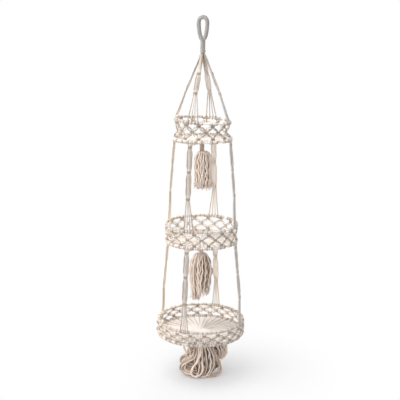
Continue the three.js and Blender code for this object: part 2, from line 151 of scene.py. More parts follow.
class Signal:
    """A number or colour on its way between shader nodes."""

    def __init__(self, finish, socket):
        self.finish = finish
        self.socket = socket

    def math(self, operation, first, second=0.0, **settings):
        return self.finish.node("ShaderNodeMath", {"operation": operation, **settings}, {0: first, 1: second})

    def __add__(self, other):
        return self.math("ADD", self, other)

    def __radd__(self, other):
        return self.math("ADD", other, self)

    def __sub__(self, other):
        return self.math("SUBTRACT", self, other)

    def __rsub__(self, other):
        return self.math("SUBTRACT", other, self)

    def __mul__(self, other):
        return self.math("MULTIPLY", self, other)

    def __rmul__(self, other):
        return self.math("MULTIPLY", other, self)

    def __abs__(self):
        return self.math("ABSOLUTE", self)

    def fraction(self):
        return self.math("FRACT", self)

    def kept(self):
        """The same number, kept between 0 and 1."""
        return self.math("ADD", self, use_clamp=True)

    def root(self):
        return self.math("SQRT", self)

    def other(self, output):
        """Another output of the same node."""
        return Signal(self.finish, self.socket.node.outputs[output])

    def parts(self):
        x = self.finish.node("ShaderNodeSeparateXYZ", None, {0: self})
        return x, x.other(1), x.other(2)


class Finish:
    """The nodes of a material or of the world, all made by one method."""

    def __init__(self, owner):
        self.owner = owner
        owner.use_nodes = True
        self.tree = owner.node_tree
        self.tree.nodes.clear()

    def node(self, kind, settings=None, inputs=None, output=0):
        node = self.tree.nodes.new(kind)
        for key, value in (settings or {}).items():
            setattr(node, key, value)
        for key, value in (inputs or {}).items():
            if isinstance(value, Signal):
                self.tree.links.new(value.socket, node.inputs[key])
            else:
                node.inputs[key].default_value = value
        return Signal(self, node.outputs[output]) if len(node.outputs) else None

    def place(self):
        """The place on the piece, in metres."""
        return self.node("ShaderNodeTexCoord").other("Object")

    def attribute(self, name):
        """A number that the mesh holds."""
        return self.node("ShaderNodeAttribute", {"attribute_name": name}).other("Fac")

    def mix(self, share, first, second):
        settings = {"data_type": "RGBA", "blend_type": "MIX"}
        # Sockets 6 and 7 of the mix node are its two colours, and output 2 is its colour.
        return self.node("ShaderNodeMix", settings, {0: share, 6: first, 7: second}, 2)

    def finish_with(self, shader, kind="ShaderNodeOutputMaterial"):
        self.node(kind, None, {"Surface": shader})
        return self.owner


PLIES = 3.0
FIBRES_ALONG = 260.0
FIBRES_ROUND = 34.0
CLOUD_SCALE = 38.0
RELIEF_DEPTH = 0.0006
# The share of the painted warm light gained in a metre to the camera's right, towards it and up
WARM_WAY = (-2.5, -5.0, -0.6)
WARM_MIDDLE = 0.08


def cotton(name, light, shade, bump, warm=None):
    """Twisted cotton: paler on its plies and darker between them, a painted shade, with fine fibres along it.
    Each stretch of cord is darkened by the painted shade it carries, lightened where that is negative, and
    each cord shifted by its own tone.
    A paler, warmer painted light, if there is a colour for it, comes in towards the camera's left, far from
    it and lower down."""
    finish = Finish(bpy.data.materials.new(name))
    along, across, _ = finish.node("ShaderNodeUVMap", {"uv_map": "UVMap"}).parts()
    # The crease rises between the plies: it darkens the colour there with painted shade and lowers the
    # relief.
    crease = 1.0 - abs((across * PLIES).fraction() * 2.0 - 1.0)
    stretched = finish.node("ShaderNodeCombineXYZ", None, {0: along * FIBRES_ALONG, 1: across * FIBRES_ROUND})
    fibres = finish.node("ShaderNodeTexNoise", None, {"Vector": stretched, "Scale": 1.0, "Detail": 3.0})
    place = finish.place()
    if warm is not None:
        x, y, z = (part * float(share) for part, share in zip(place.parts(), seen(*WARM_WAY)))
        painted_warm_light_share = x + y + z + WARM_MIDDLE
        light = finish.mix(painted_warm_light_share.kept(), light, warm)
    clouds = finish.node("ShaderNodeTexNoise", None, {"Vector": place, "Scale": CLOUD_SCALE, "Detail": 2.0})
    tone, painted_shade = finish.attribute("cord_tone"), finish.attribute("cord_painted_shade")
    # The shade colour is mixed in by painted shade, from the creases and from what each stretch of cord
    # carries, with the fibres, the clouds and each cord's own tone.
    painted_shade_and_tone = crease * 0.5 + fibres * 0.5 + clouds * 0.3 + tone * 0.6 + painted_shade * 0.5 - 0.72
    relief = finish.node("ShaderNodeBump", None, {
        "Strength": bump, "Distance": RELIEF_DEPTH, "Height": fibres * 0.5 - crease * 0.6})
    return finish.finish_with(finish.node("ShaderNodeBsdfPrincipled", None, {
        "Base Color": finish.mix(painted_shade_and_tone.kept(), light, shade),
        "Roughness": fibres * 0.16 + 0.76,
        "Normal": relief,
        "Sheen Weight": 0.2,
        "Sheen Roughness": 0.6,
        "Specular IOR Level": 0.2,
    }))


# Cords

PROFILE_SIDES = 6
PROFILE_CREASE = 0.74
SUBSTEPS = 6
BEND_REACH = 3
COLUMNS_OF_LINE = 5
SAME_PLACE = 1e-5
# The tone and the painted shade of the small faces that close a cord's ends
END_MARK = 0.5
# The top basket's upper hoop hangs lower to the camera's right, by this much a metre. The tilt begins
# this high over its lower hoop and has gone this high over its upper one.
TOP_TILT = 0.065
TILT_FROM = 0.008
TILT_UP_TO = 0.15

Path = collections.namedtuple("Path", "line length diameter tone")


def full(points):
    """Places as rows of x, y, z, thickness and the painted shade of the cord there."""
    plain_place = [0, 0, 0, 1, 0]
    return np.array([[*point, *plain_place[len(point):]] for point in points], float)


def smooth(points, step):
    """A rounded line through the points, with its own points at an even step."""
    line = full(points)
    gaps = np.linalg.norm(np.diff(line[:, :3], axis=0), axis=1)
    line = line[np.concatenate([[True], gaps > SAME_PLACE])]
    gaps = np.linalg.norm(np.diff(line[:, :3], axis=0), axis=1)[:, None]
    slopes = np.diff(line, axis=0) / gaps
    tangents = np.empty_like(line)
    tangents[0], tangents[-1] = slopes[0], slopes[-1]
    weights = gaps[:-1] + gaps[1:]
    tangents[1:-1] = (slopes[:-1] * gaps[1:] + slopes[1:] * gaps[:-1]) / weights
    t = np.linspace(0, 1, SUBSTEPS, endpoint=False)[None, :, None]
    start, end = line[:-1, None], line[1:, None]
    # A long stretch beside a short one takes the short one's bend only as far as that one reaches.
    before = np.vstack([gaps[:1], gaps[:-1]]) * BEND_REACH
    after = np.vstack([gaps[1:], gaps[-1:]]) * BEND_REACH
    leave = (np.minimum(gaps, before) * tangents[:-1])[:, None]
    arrive = (np.minimum(gaps, after) * tangents[1:])[:, None]
    fine = (2 * t**3 - 3 * t**2 + 1) * start + (t**3 - 2 * t**2 + t) * leave
    fine = fine + (3 * t**2 - 2 * t**3) * end + (t**3 - t**2) * arrive
    fine = np.vstack([fine.reshape(-1, COLUMNS_OF_LINE), line[-1:]])
    run = np.linalg.norm(np.diff(fine[:, :3], axis=0), axis=1)
    distance = np.concatenate([[0], np.cumsum(run)])
    even = np.linspace(0, distance[-1], max(2, round(distance[-1] / step) + 1))
    columns = [np.interp(even, distance, column) for column in fine.T]
    return np.stack(columns, 1), distance[-1]


def strand_profile():
    """The outline of a three-ply cord, one unit across its radius."""
    existing = bpy.data.objects.get("cord_outline")
    if existing:
        return existing
    data = bpy.data.curves.new("cord_outline", "CURVE")
    data.dimensions = "2D"
    spline = data.splines.new("POLY")
    spline.points.add(PROFILE_SIDES - 1)
    spline.use_cyclic_u = True
    for i in range(PROFILE_SIDES):
        radius = PROFILE_CREASE if i % 2 else 1.0
        spline.points[i].co = (*around(tau * i / PROFILE_SIDES, radius, 0), 1)
    return bpy.data.objects.new("cord_outline", data)


def tilted(line):
    """The top basket's upper hoop hangs a little lower on the camera's right, with what it carries."""
    upper, lower = (place[1] for place in hoop_places("top"))
    share = np.interp(line[:, 2], [lower + TILT_FROM, upper, upper + TILT_UP_TO], [0, 1, 0])
    right = line[:, 0] * cos(VIEW_AZIMUTH) + line[:, 1] * sin(VIEW_AZIMUTH)
    line[:, 2] -= share * right * TOP_TILT
    return line


class Cords:
    """Cords that are tied into one piece, with the solid that they are tied on if it shows."""

    lengths = {}

    def __init__(self, name, seed):
        self.name = name
        self.random = random.Random(seed)
        self.paths = []
        self.solid = None

    def between(self, low, high):
        return self.random.uniform(low, high)

    def stray(self, reach):
        return self.random.uniform(-reach, reach)

    def scatter(self, spread):
        """Small random distances to the right, towards the camera and up."""
        return np.array([self.random.gauss(0, spread) for _ in range(3)])

    def add(self, points, diameter, step=None, tone=None):
        sizes = bpy.context.scene.rope_shelf_sizes
        line, length = smooth(points, step or sizes.ring_step)
        own = self.random.random()
        self.paths.append(Path(tilted(line), length, diameter, own if tone is None else tone))

    def make(self, finish):
        """The piece's object, its cords turned into one mesh."""
        sizes = bpy.context.scene.rope_shelf_sizes
        data = bpy.data.curves.new(self.name, "CURVE")
        data.dimensions = "3D"
        data.bevel_mode = "OBJECT"
        data.bevel_object = strand_profile()
        data.use_fill_caps = True
        for line, length, diameter, tone in self.paths:
            spline = data.splines.new("POLY")
            spline.points.add(len(line) - 1)
            places = np.ones((len(line), 4))
            places[:, :3] = line[:, :3]
            turns = np.linspace(0, length, len(line)) * tau / sizes.lay_length
            spline.points.foreach_set("co", places.ravel())
            spline.points.foreach_set("radius", line[:, 3] * diameter / 2)
            spline.points.foreach_set("tilt", turns + tau * tone)
        curve = placed(self.name, data)
        bpy.context.view_layer.update()
        shaped = curve.evaluated_get(bpy.context.evaluated_depsgraph_get())
        mesh = bpy.data.meshes.new_from_object(shaped)
        bpy.data.objects.remove(curve)
        bpy.data.curves.remove(data)
        self.mark(mesh)
        piece = placed(self.name, mesh)
        weld(piece)
        if self.solid:
            self.solid.from_mesh(mesh)
            self.solid.to_mesh(mesh)
            self.solid.free()
        mesh.materials.clear()
        mesh.materials.append(finish)
        Cords.lengths[self.name] = sum(path.length for path in self.paths)
        return piece

    def mark(self, mesh):
        """Measures the UV map along each cord in metres, gives each cord its own tone, and gives each stretch
        of cord its painted shade.
        """
        counts = [(len(path.line) - 1) * PROFILE_SIDES for path in self.paths]
        corners = [4 * count for count in counts]
        uv = np.zeros(len(mesh.loops) * 2)
        mesh.uv_layers[0].data.foreach_get("uv", uv)
        first = 2 * (len(mesh.loops) - sum(corners))
        uv[first::2] *= np.repeat([path.length for path in self.paths], corners)
        mesh.uv_layers[0].data.foreach_set("uv", uv)
        ends = np.full(len(mesh.polygons) - sum(counts), END_MARK)
        tones = np.repeat([path.tone for path in self.paths], counts)
        painted_shade = np.concatenate([np.repeat(path.line[1:, 4], PROFILE_SIDES) for path in self.paths])
        for name, values in (("cord_tone", tones), ("cord_painted_shade", painted_shade)):
            layer = mesh.attributes.new(name, "FLOAT", "FACE")
            layer.data.foreach_set("value", np.concatenate([ends, values]))


def weld(piece):
    """Closes the ends of a piece's cords and smooths its shading."""
    work = bmesh.new()
    work.from_mesh(piece.data)
    bmesh.ops.remove_doubles(work, verts=work.verts, dist=1e-7)
    for face in work.faces:
        face.smooth = True
    work.to_mesh(piece.data)
    work.free()


def carried(cords, finish, slot, body, *nodes):
    """Makes a piece that rides on a body and stands for CAD nodes."""
    piece = cords.make(finish)
    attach(piece, body)
    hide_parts(*nodes)


# A square knot: places of its four cords, as shares of its half width, half depth and half height

# Painted shade where a cord enters and leaves a knot
KNOT_ENDS_PAINTED_SHADE = 0.2
FILLER = [(0.22, 0.0, -1.0), (0.2, 0.0, 0.0), (0.22, 0.0, 1.0)]
FRONT_HALF = [
    (-0.86, 0.1, -1.0), (-0.7, 0.72, -0.82), (-0.25, 1.0, -0.66), (0.28, 0.96, -0.5),
    (0.66, 0.5, -0.35), (0.9, -0.1, -0.12),
]
FRONT_CORD = FRONT_HALF + [(x, y, -z) for x, y, z in reversed(FRONT_HALF)]
BACK_CORD = [
    (0.86, 0.1, -1.0), (0.95, 0.7, -0.4), (0.98, 0.4, 0.1), (0.85, -0.6, 0.15),
    (0.4, -0.95, 0.1), (-0.4, -0.95, -0.1), (-0.85, -0.5, -0.2), (-1.0, 0.45, -0.25),
    (-1.0, 0.65, 0.05), (-0.92, 0.1, 0.35), (-0.6, -0.7, 0.45), (0.0, -1.0, 0.5),
    (0.6, -0.75, 0.58), (0.92, 0.1, 0.72), (0.86, 0.1, 1.0),
]


def square_knot(width, depth, height, cord, mirrored):
    """The four cords' places through a knot: across, out and down from its middle."""
    half = np.array([(width - cord) / 2, (depth - cord) / 2, (height - cord) / 2])
    left, right = np.array(FILLER) * half, np.array(FILLER) * half
    left[:, 0] *= -1
    lanes = [np.array(FRONT_CORD) * half, left, right, np.array(BACK_CORD) * half]
    if mirrored:
        lanes = [lane * (-1, 1, 1) for lane in reversed(lanes)]
    return lanes


def tied(lane, place, knot_shade):
    """A cord's places through a knot, with the knot's painted shade except where it enters and leaves."""
    last = len(lane) - 1
    painted_shade = [KNOT_ENDS_PAINTED_SHADE if i in (0, last) else knot_shade for i in range(len(lane))]
    return [[*place(*spot), 1.0, shade] for spot, shade in zip(lane, painted_shade)]


# Legs

# Painted shade in a leg's knots, and on the later turns of a cord round a hoop
KNOT_PAINTED_SHADE = 0.4
# Painted shade of each side's legs, front, right, back and left: shaded at the front and right, painted light
# at the back and more at the left
SIDE_PAINTED_SHADE = by(SIDES, 0.8, 0.3, -0.25, -1.15)
SIDE_TONES = by(
    SIDES,
    (0.9, 0.1, 0.6, 1.0),
    (0.5, 0.4, 0.3, 0.2),
    (0.5, 0.1, 0.4, 0.6),
    (0.2, 0.3, 0.1, 0.0),
)
# How wide the cords of a leg lie, against the open pitch, and how far they stand before and behind
SIDE_WIDTHS = by(SIDES, 1.05, 0.62, 1.12, 1.2)
SIDE_LAYERS = by(SIDES, 0.0, 0.0014, 0.0, 0.0)
# Painted shade on the first half of a cord's turns round a hoop
HITCH_PAINTED_SHADE = 0.3
HITCH_THIN = 0.86
LEG_CORD = 0.0051
LEG_KNOT = (0.017, 0.010, 0.013)
LANES = 4
MIDDLE_LANE = (LANES - 1) / 2
OPEN_PITCH = by(SPANS, 0.0044, 0.0047, 0.0047)
# Where the open cords are placed between two knots, and how far each strays there
OPEN_SHARES = (0.22, 0.5, 0.78)
STRAY = 0.0005
SLOPE_REACH = 0.003


class Leg:
    """The middle line of a leg, straight between places given out from the axis."""

    def __init__(self, angle, places):
        self.angle = radians(angle)
        self.places = sorted(places, key=lambda place: place[1])

    def radius(self, z):
        heights = [place[1] for place in self.places]
        return float(np.interp(z, heights, [place[0] for place in self.places]))

    def slope(self, z):
        """The angle between the leg and the plumb line."""
        rise = 2 * SLOPE_REACH
        return atan2(self.radius(z - SLOPE_REACH) - self.radius(z + SLOPE_REACH), rise)

    def place(self, z, across=0.0, out=0.0, down=0.0):
        tilt = self.slope(z)
        radius = self.radius(z) + down * sin(tilt) + out * cos(tilt)
        height = z - down * cos(tilt) + out * sin(tilt)
        return around(self.angle, radius, height, across)


def hoop_turn(angle, hoop, across, reach, turns):
    """Places round a hoop's tube, at angles from its outside, positive upwards."""
    radius, z = hoop
    places = []
    for i, tube_angle in enumerate(turns):
        turn = radians(tube_angle)
        sideways = across[0] + (across[1] - across[0]) * i / (len(turns) - 1)
        out = radius + reach * cos(turn)
        spot = around(angle + sideways / radius, out, z + reach * sin(turn))
        painted_shade = HITCH_PAINTED_SHADE if 2 * i < len(turns) else KNOT_PAINTED_SHADE
        places.append([*spot, HITCH_THIN, painted_shade])
    return places


WRAP_REACH = 0.0040
LEG_WRAP_REACH = 0.0052
HITCH_DOWN = (75, 20, -45, -110, -175, -235, -290, -345, -395, -450)
HITCH_UP = (*range(-250, 300, 60), 340)
# How far apart a leg's cords are hitched at its top and its foot, how far its foot leans to the side,
# and what share of its side's painted shade the foot gets on top of its own
TOP_SPREAD = {"middle": 0.0080, "lower": 0.0076}
FOOT_SPREAD = by(SPANS, 0.0114, 0.0106, 0.0084)
FOOT_LEAN = by(SPANS, 0.0045, 0.0035, 0.0)
FOOT_WIDTHS = by(SIDES, 1.0, 0.55, 1.0, 0.7)
FOOT_SHARE = 0.8
HITCH_DRIFT = 0.0036
KNOT_HEIGHTS = by(SPANS, (-0.1725, -0.2335), (-0.402, -0.482, -0.569), (-0.7486, -0.8296, -0.9186))
# Where a leg's middle line ends beside a hoop's tube, out and up
LEG_TOP = (0.005, -0.004)
LEG_FOOT = (0.006, 0.006)
NECK_BOTTOM = -0.1052
# An upper leg's middle line out of the neck, and its cords' places in the neck, across and out
NECK_TO_LEG = ((0.0028, -0.09), (0.0032, NECK_BOTTOM), (0.0162, -0.133))
NECK_LANES = ((-0.0016, -0.0010), (-0.0014, 0.0012), (0.0014, 0.0012), (0.0016, -0.0010))
NECK_LAYER = 0.0013


def hitched(leg_angle, hoop, spread, lean, lane, turns):
    """A cord's turns round a hoop, in its own place beside the others."""
    sideways = (lane - MIDDLE_LANE) * spread + lean
    return hoop_turn(leg_angle, hoop, (sideways, sideways + HITCH_DRIFT), LEG_WRAP_REACH, turns)


def leg_cords(prefix, side, leg, start, hoop, seed):
    """Four cords through a leg's knots, from the places in start to their turns round a hoop."""
    cords = Cords(f"{prefix}_leg_{side}", seed)
    heights = KNOT_HEIGHTS[prefix]
    knot_shade = KNOT_PAINTED_SHADE + SIDE_PAINTED_SHADE[side]
    spread = FOOT_SPREAD[prefix] * FOOT_WIDTHS[side]
    darker = SIDE_PAINTED_SHADE[side] * FOOT_SHARE
    for lane in range(LANES):
        points = list(start(lane))
        for index, z in enumerate(heights):
            knot = square_knot(*LEG_KNOT, LEG_CORD, index % 2 == 1)[lane]
            points += tied(knot, lambda u, v, w: leg.place(z, u, v, w), knot_shade)
            if index + 1 == len(heights):
                break
            for share in OPEN_SHARES:
                between = z + (heights[index + 1] - z) * share
                stray = cords.stray(STRAY)
                across = (lane - MIDDLE_LANE) * OPEN_PITCH[prefix] * SIDE_WIDTHS[side] + stray
                layer = stray + (SIDE_LAYERS[side] if lane % 2 else -SIDE_LAYERS[side])
                points.append([*leg.place(between, across, layer), 1.0, SIDE_PAINTED_SHADE[side]])
        foot = hitched(leg.angle, hoop, spread, FOOT_LEAN[prefix], lane, HITCH_DOWN)
        points += [[*place[:4], place[4] + darker] for place in foot]
        cords.add(points, LEG_CORD, tone=SIDE_TONES[side][lane])
    return cords


def beside(hoop, out, up):
    """Where a leg's middle line meets a hoop."""
    return hoop[0] + out, hoop[1] + up


def upper_leg(side, seed):
    """A leg from the neck to the top basket."""
    hoop = hoop_place("top", "upper")
    leg = Leg(SIDES[side], [*NECK_TO_LEG, beside(hoop, *LEG_FOOT)])

    def start(lane):
        across, out = NECK_LANES[lane]
        layer = NECK_LAYER if lane in (1, 2) else -NECK_LAYER
        # Under the neck the cords are thin and carry heavy painted shade, less further down
        return [
            [*leg.place(-0.096, across, out), 0.5, 1.2],
            [*leg.place(NECK_BOTTOM, across, out), 0.55, 1.2],
            [*leg.place(-0.112, across * 1.2, out * 1.2), 0.72, 1.1],
            [*leg.place(-0.128, (lane - MIDDLE_LANE) * 0.0028, layer), 0.9, 1.1],
            [*leg.place(-0.148, (lane - MIDDLE_LANE) * 0.0034, layer * 0.5), 0.92, 0.5],
        ]

    return leg_cords("upper", side, leg, start, hoop, seed)


def span_leg(prefix, side, above, below, seed):
    """A leg from one basket's lower hoop to the next basket's upper hoop."""
    top, bottom = hoop_place(above, "lower"), hoop_place(below, "upper")
    leg = Leg(SIDES[side], [beside(top, *LEG_TOP), beside(bottom, *LEG_FOOT)])

    def start(lane):
        return hitched(leg.angle, top, TOP_SPREAD[prefix], 0.0, lane, HITCH_UP)

    return leg_cords(prefix, side, leg, start, bottom, seed)


# Baskets

NET_CORD = 0.0042
NET_KNOT = (0.0155, 0.0082, 0.0098)
NET_HITCH_PITCH = 0.0082
HITCH_HALF = 0.0015
NET_UP = (*range(-200, 300, 60), 330)
NET_DOWN = (70, 15, -45, -110, -175, -235, -290, -345, -405, -460)
# How far under the upper hoop the rows of knots are
NET_ROWS = by(TIERS, (0.0105, 0.0309, 0.0513), (0.0105, 0.0284, 0.0463), (0.0095, 0.0222, 0.0349))
NET_TONES = (-0.1, 1.1, 0.0, 1.2)
# Painted shade in a net's knots by tier, with painted shade that grows towards the camera and turns to
# painted light at the back, between the knots too
NET_PAINTED_SHADE = by(TIERS, 1.15, 1.15, 1.5)
NET_FRONT_PAINTED_SHADE = 1.3
NET_STANDS_OUT = by(TIERS, 0.002, 0.003, 0.006)
NET_STRAY = 0.0006
# How far the cords between two knots bow apart, the inner ones the other way, up and to the side
PAIR_BOW = 0.0026
INNER_BOW = -0.6
BOW_UP = 0.8
BOW_ASIDE = 0.5
BOW_OUT = 0.0005
LOOSE_BOW = by(TIERS, 2.3, 1.8, 1.7)
RING_RADIUS = 0.0026
# Painted shade on a hoop's own tube where it is beaded, between the hitches
RING_PAINTED_SHADE = 1.3
PAIR_TURNS = range(-150, 520, 60)
RING_SIDES = 10
RING_STEPS = 96


def net_radius(tier, down):
    """How far out the net stands, down from the upper hoop."""
    upper, lower = hoop_places(tier)
    share = down / (upper[1] - lower[1])
    straight = upper[0] + (lower[0] - upper[0]) * share
    return straight - WAIST[tier] * sin(pi * share) + NET_STANDS_OUT[tier]


def basket_net(tier, seed):
    """Cords hitched on the upper hoop, tied in three rows of knots and hitched on the lower."""
    cords = Cords(f"{tier}_net", seed)
    upper, lower = hoop_places(tier)
    columns = COLUMNS[tier]
    step = tau / columns
    rows = NET_ROWS[tier]
    for column in range(columns):
        middle = (column + 0.5) * step
        facing = sin(VIEW_AZIMUTH - middle)
        knot_shade = NET_PAINTED_SHADE[tier] + NET_FRONT_PAINTED_SHADE * facing
        loose = LOOSE_BOW[tier] if BEADED[tier][0] <= degrees(middle) <= BEADED[tier][1] else 1.0
        for lane in range(LANES):
            across = (lane - MIDDLE_LANE) * NET_HITCH_PITCH
            shift = (across - HITCH_HALF, across + HITCH_HALF)
            points = hoop_turn(middle, upper, shift, WRAP_REACH, NET_UP)
            for row, down in enumerate(rows):
                centre, own = middle, lane
                if row == 1:
                    centre = column * step if lane < 2 else (column + 1) * step
                    own = (lane + 2) % LANES
                radius = net_radius(tier, down)
                centre += cords.stray(NET_STRAY) / radius
                knot = square_knot(*NET_KNOT, NET_CORD, (column + row) % 2 == 1)[own]
                z = upper[1] - down
                points += tied(knot, lambda u, v, w: around(centre + u / radius, radius + v, z - w), knot_shade)
                if row < len(rows) - 1:
                    outer = (lane in (0, 3)) == (row == 0)
                    way = -1 if lane < 2 else 1
                    way *= 1 if row == 0 else -1
                    bow = PAIR_BOW * loose * (1.0 if outer else INNER_BOW)
                    between = centre + way * step * 0.25
                    height = z - (rows[row + 1] - down) / 2 + bow * BOW_UP
                    spot = around(between + way * bow * BOW_ASIDE / radius, radius + BOW_OUT, height)
                    points.append([*spot, 1.0, NET_FRONT_PAINTED_SHADE * facing])
            points += hoop_turn(middle, lower, shift, WRAP_REACH, NET_DOWN)
            cords.add(points, NET_CORD, tone=NET_TONES[lane])
    return cords


def ring(radius, z, tube, beaded):
    """A round hoop, as a mesh in a bmesh, with painted shade where it lies between hitches."""
    work = bmesh.new()
    made = bmesh.ops.create_circle(work, segments=RING_SIDES, radius=tube)
    for vert in made["verts"]:
        x, y, _ = vert.co
        vert.co = (radius + x, 0, z + y)
    bmesh.ops.spin(work, geom=work.verts[:] + work.edges[:], cent=(0, 0, 0), axis=(0, 0, 1),
                   angle=tau, steps=RING_STEPS, use_merge=True)
    bmesh.ops.recalc_face_normals(work, faces=work.faces)
    painted_shade = work.faces.layers.float.new("cord_painted_shade")
    for face in work.faces:
        face.smooth = True
        middle = face.calc_center_median()
        angle = degrees(atan2(middle.y, middle.x)) % 360
        face[painted_shade] = RING_PAINTED_SHADE if beaded[0] <= angle <= beaded[1] else 0.0
    for vert in work.verts:
        vert.co.z = tilted(np.array([vert.co]))[0, 2]
    return work


def basket_hoop(tier, which, beaded, seed):
    """A hoop's own turns of cord, in pairs, between the hitches of the net."""
    cords = Cords(f"{tier}_{which}_ring", seed)
    radius, z = hoop_place(tier, which)
    cords.solid = ring(radius, z, RING_RADIUS, beaded)
    step = tau / COLUMNS[tier]
    room = step * radius - LANES * NET_HITCH_PITCH
    for column in range(COLUMNS[tier]):
        centre = column * step
        angle = degrees(centre) % 360
        if angle % 90 == 0 or not beaded[0] <= angle <= beaded[1]:
            continue
        pairs = max(1, round(room / NET_HITCH_PITCH))
        for pair in range(pairs):
            middle = centre + (pair - (pairs - 1) / 2) * room / pairs / radius
            shift = (-HITCH_HALF, HITCH_HALF)
            cords.add(hoop_turn(middle, (radius, z), shift, WRAP_REACH, PAIR_TURNS), NET_CORD)
    return cords


SPOKES_PER_COLUMN = 6
FLOOR_CORD = 0.0042
# Every third cord, the lowest lying, is darkest, with painted shade between the spokes; the others are paler
FLOOR_TONES = (-1.0, -0.6, 1.4)
# The cords lie in three layers where they crowd together, and a few short ones cover the middle
FLOOR_LAYERS = (0.0, 0.6, 1.2)
FLOOR_LAYER = 0.0026
FLOOR_SAG = 0.0006
# Places out from the hoop's tube and up, and places out from the axis and down, with the thickness
OVER_THE_HOOP = ((0.0048, 0.001), (0.0030, 0.0052), (-0.0035, 0.0045))
INTO_THE_STEM = ((0.010, 0.001, 0.62), (0.0045, 0.006, 0.55), (0.0035, 0.014, 0.5))
FLOOR_STRAY = 0.25
FLOOR_TURN = 3
MIDDLE_CORDS = 7


def basket_floor(tier, seed):
    """Cords from the lower hoop to the middle, where they dive into the tassel."""
    cords = Cords(f"{tier}_floor_cords", seed)
    radius, hoop_z = hoop_place(tier, "lower")
    low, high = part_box(f"{tier}_basket_floor")
    z = (low[2] + high[2]) / 2
    count = COLUMNS[tier] * SPOKES_PER_COLUMN
    for i in range(count):
        angle = tau * (i + cords.stray(FLOOR_STRAY)) / count
        layer = FLOOR_LAYERS[i % 3] * FLOOR_LAYER
        sag = cords.stray(FLOOR_SAG)
        thin = cords.between(0.9, 1.05)
        turn = radians(cords.stray(FLOOR_TURN))
        points = [
            *([*around(angle, radius + out, hoop_z + up), thin] for out, up in OVER_THE_HOOP),
            [*around(angle, radius - 0.010, z + 0.0006), thin],
            [*around(angle, radius * 0.7, z + sag), thin],
            [*around(angle + turn * 0.3, radius * 0.42, z + sag - layer * 0.4), thin * 0.95],
            [*around(angle + turn, radius * 0.2, z - layer), thin * 0.8],
            *([*around(angle + turn, out, z - down - layer), thin * width]
              for out, down, width in INTO_THE_STEM),
        ]
        cords.add(points, FLOOR_CORD, 0.0034, FLOOR_TONES[i % 3])
    for i in range(MIDDLE_CORDS):
        angle = pi * i / MIDDLE_CORDS
        places = ((-0.009, -0.003), (-0.004, 0.0002), (0.004, 0.0002), (0.009, -0.003))
        points = [around(angle, out, z + up) for out, up in places]
        cords.add(points, FLOOR_CORD * 0.8, 0.002, FLOOR_TONES[1])
    return cords


# Loop and neck

WINDING_STEP = 0.0018


def wind(cords, line, winding, step=WINDING_STEP, tone=None, start_turn=0.0, per_turn=12):
    """A cord wound round a line, which is an array of places at an even step."""
    reach, pitch, diameter = winding
    steps = np.linalg.norm(np.diff(line[:, :3], axis=0), axis=1)
    distance = np.concatenate([[0], np.cumsum(steps)])
    count = int(distance[-1] / pitch * per_turn)
    at = np.linspace(0, distance[-1], count + 1)
    middle = np.stack([np.interp(at, distance, line[:, k]) for k in range(3)], 1)
    along = np.gradient(middle, axis=0)
    along /= np.linalg.norm(along, axis=1)[:, None]
    side = np.tile([0.0, 1.0, 0.0], (len(along), 1))
    out = np.cross(along, side)
    out /= np.linalg.norm(out, axis=1)[:, None]
    side = np.cross(out, along)
    turn = tau * (np.arange(count + 1) / per_turn + start_turn)
    places = middle + reach * (np.cos(turn)[:, None] * out + np.sin(turn)[:, None] * side)
    cords.add(places, diameter, step, tone)


def plumb(top, step, count):
    """Places straight down the shelf's axis."""
    return np.array([[0, 0, top - step * i] for i in range(count)])


# From the foot of the eye to its top, as shares
LOOP_WIDTHS = (0.36, 0.5, 0.66, 0.82, 0.95, 1, 0.98, 0.68, 0)
LOOP_HEIGHTS = (1.03, 0.96, 0.86, 0.71, 0.5, 0.36, 0.2, 0.06, 0)
LOOP_STRAND = 0.0142
LOOP_WIDEST = 0.0148
LOOP_LENGTH = 0.060
LOOP_CORE = 0.0112
LOOP_FOOT = (0.0030, 0, -0.0680, 0.7, 0)
NECK_CORD = 0.0036
NECK_CORDS_REACH = 0.0034
# Each winding's distance from the middle of what it is wound round, its pitch and its cord
LOOP_WINDING = (LOOP_STRAND / 2 - 0.0013, 0.00236, 0.0026)
COLLAR = (0.0070, 0.0026, 0.0027)
NECK_BINDING = (0.0069, 0.00245, 0.0029)
STEM_BINDING = (0.0068, 0.0031, 0.0030)
# The binding's loose end, as the camera sees it
TAIL = ((0.0052, 0.003, -0.1015), (0.0070, 0.001, -0.1030), (0.0092, 0.0, -0.1015), (0.0105, 0.0, -0.0985))


def loop_line():
    """The middle of the loop's strand, up one side of the eye and down the other."""
    half = LOOP_STRAND / 2
    right = []
    for width, height in zip(LOOP_WIDTHS, LOOP_HEIGHTS):
        right.append((LOOP_WIDEST * width, 0, half - (LOOP_LENGTH + half) * height))
    left = [(-x, y, z) for x, y, z in reversed(right[:-1])]
    return smooth(right + left, 0.001)[0]


def hanging_loop():
    """The loop's strand: cords inside and a tight winding round them."""
    cords = Cords("loop_winding", 11)
    line = loop_line()
    wind(cords, line, LOOP_WINDING, per_turn=10)
    core = np.vstack([LOOP_FOOT, line, LOOP_FOOT])
    core[0, 0] *= copysign(1, line[0, 0])
    core[-1, 0] *= copysign(1, line[-1, 0])
    cords.add(core, LOOP_CORE, 0.003)
    wind(cords, plumb(-0.0612, 0.0003, 27), COLLAR, start_turn=0.2)
    return cords


def neck_binding():
    """The gathered cords of the neck and the binding round them."""
    cords = Cords("neck_binding", 12)
    wind(cords, plumb(-0.0685, 0.001, 38), NECK_BINDING)
    cords.add([seen(*place) for place in TAIL], 0.0022, 0.0015)
    for i in range(7):
        angle = tau * i / 6
        reach = NECK_CORDS_REACH if i < 6 else 0.0
        cords.add([around(angle, reach, z) for z in (-0.069, -0.088, -0.1048)], NECK_CORD)
    return cords


# Tassels

TASSEL_CORD = 0.0057
YARN = 0.0017
FRINGE = 0.024
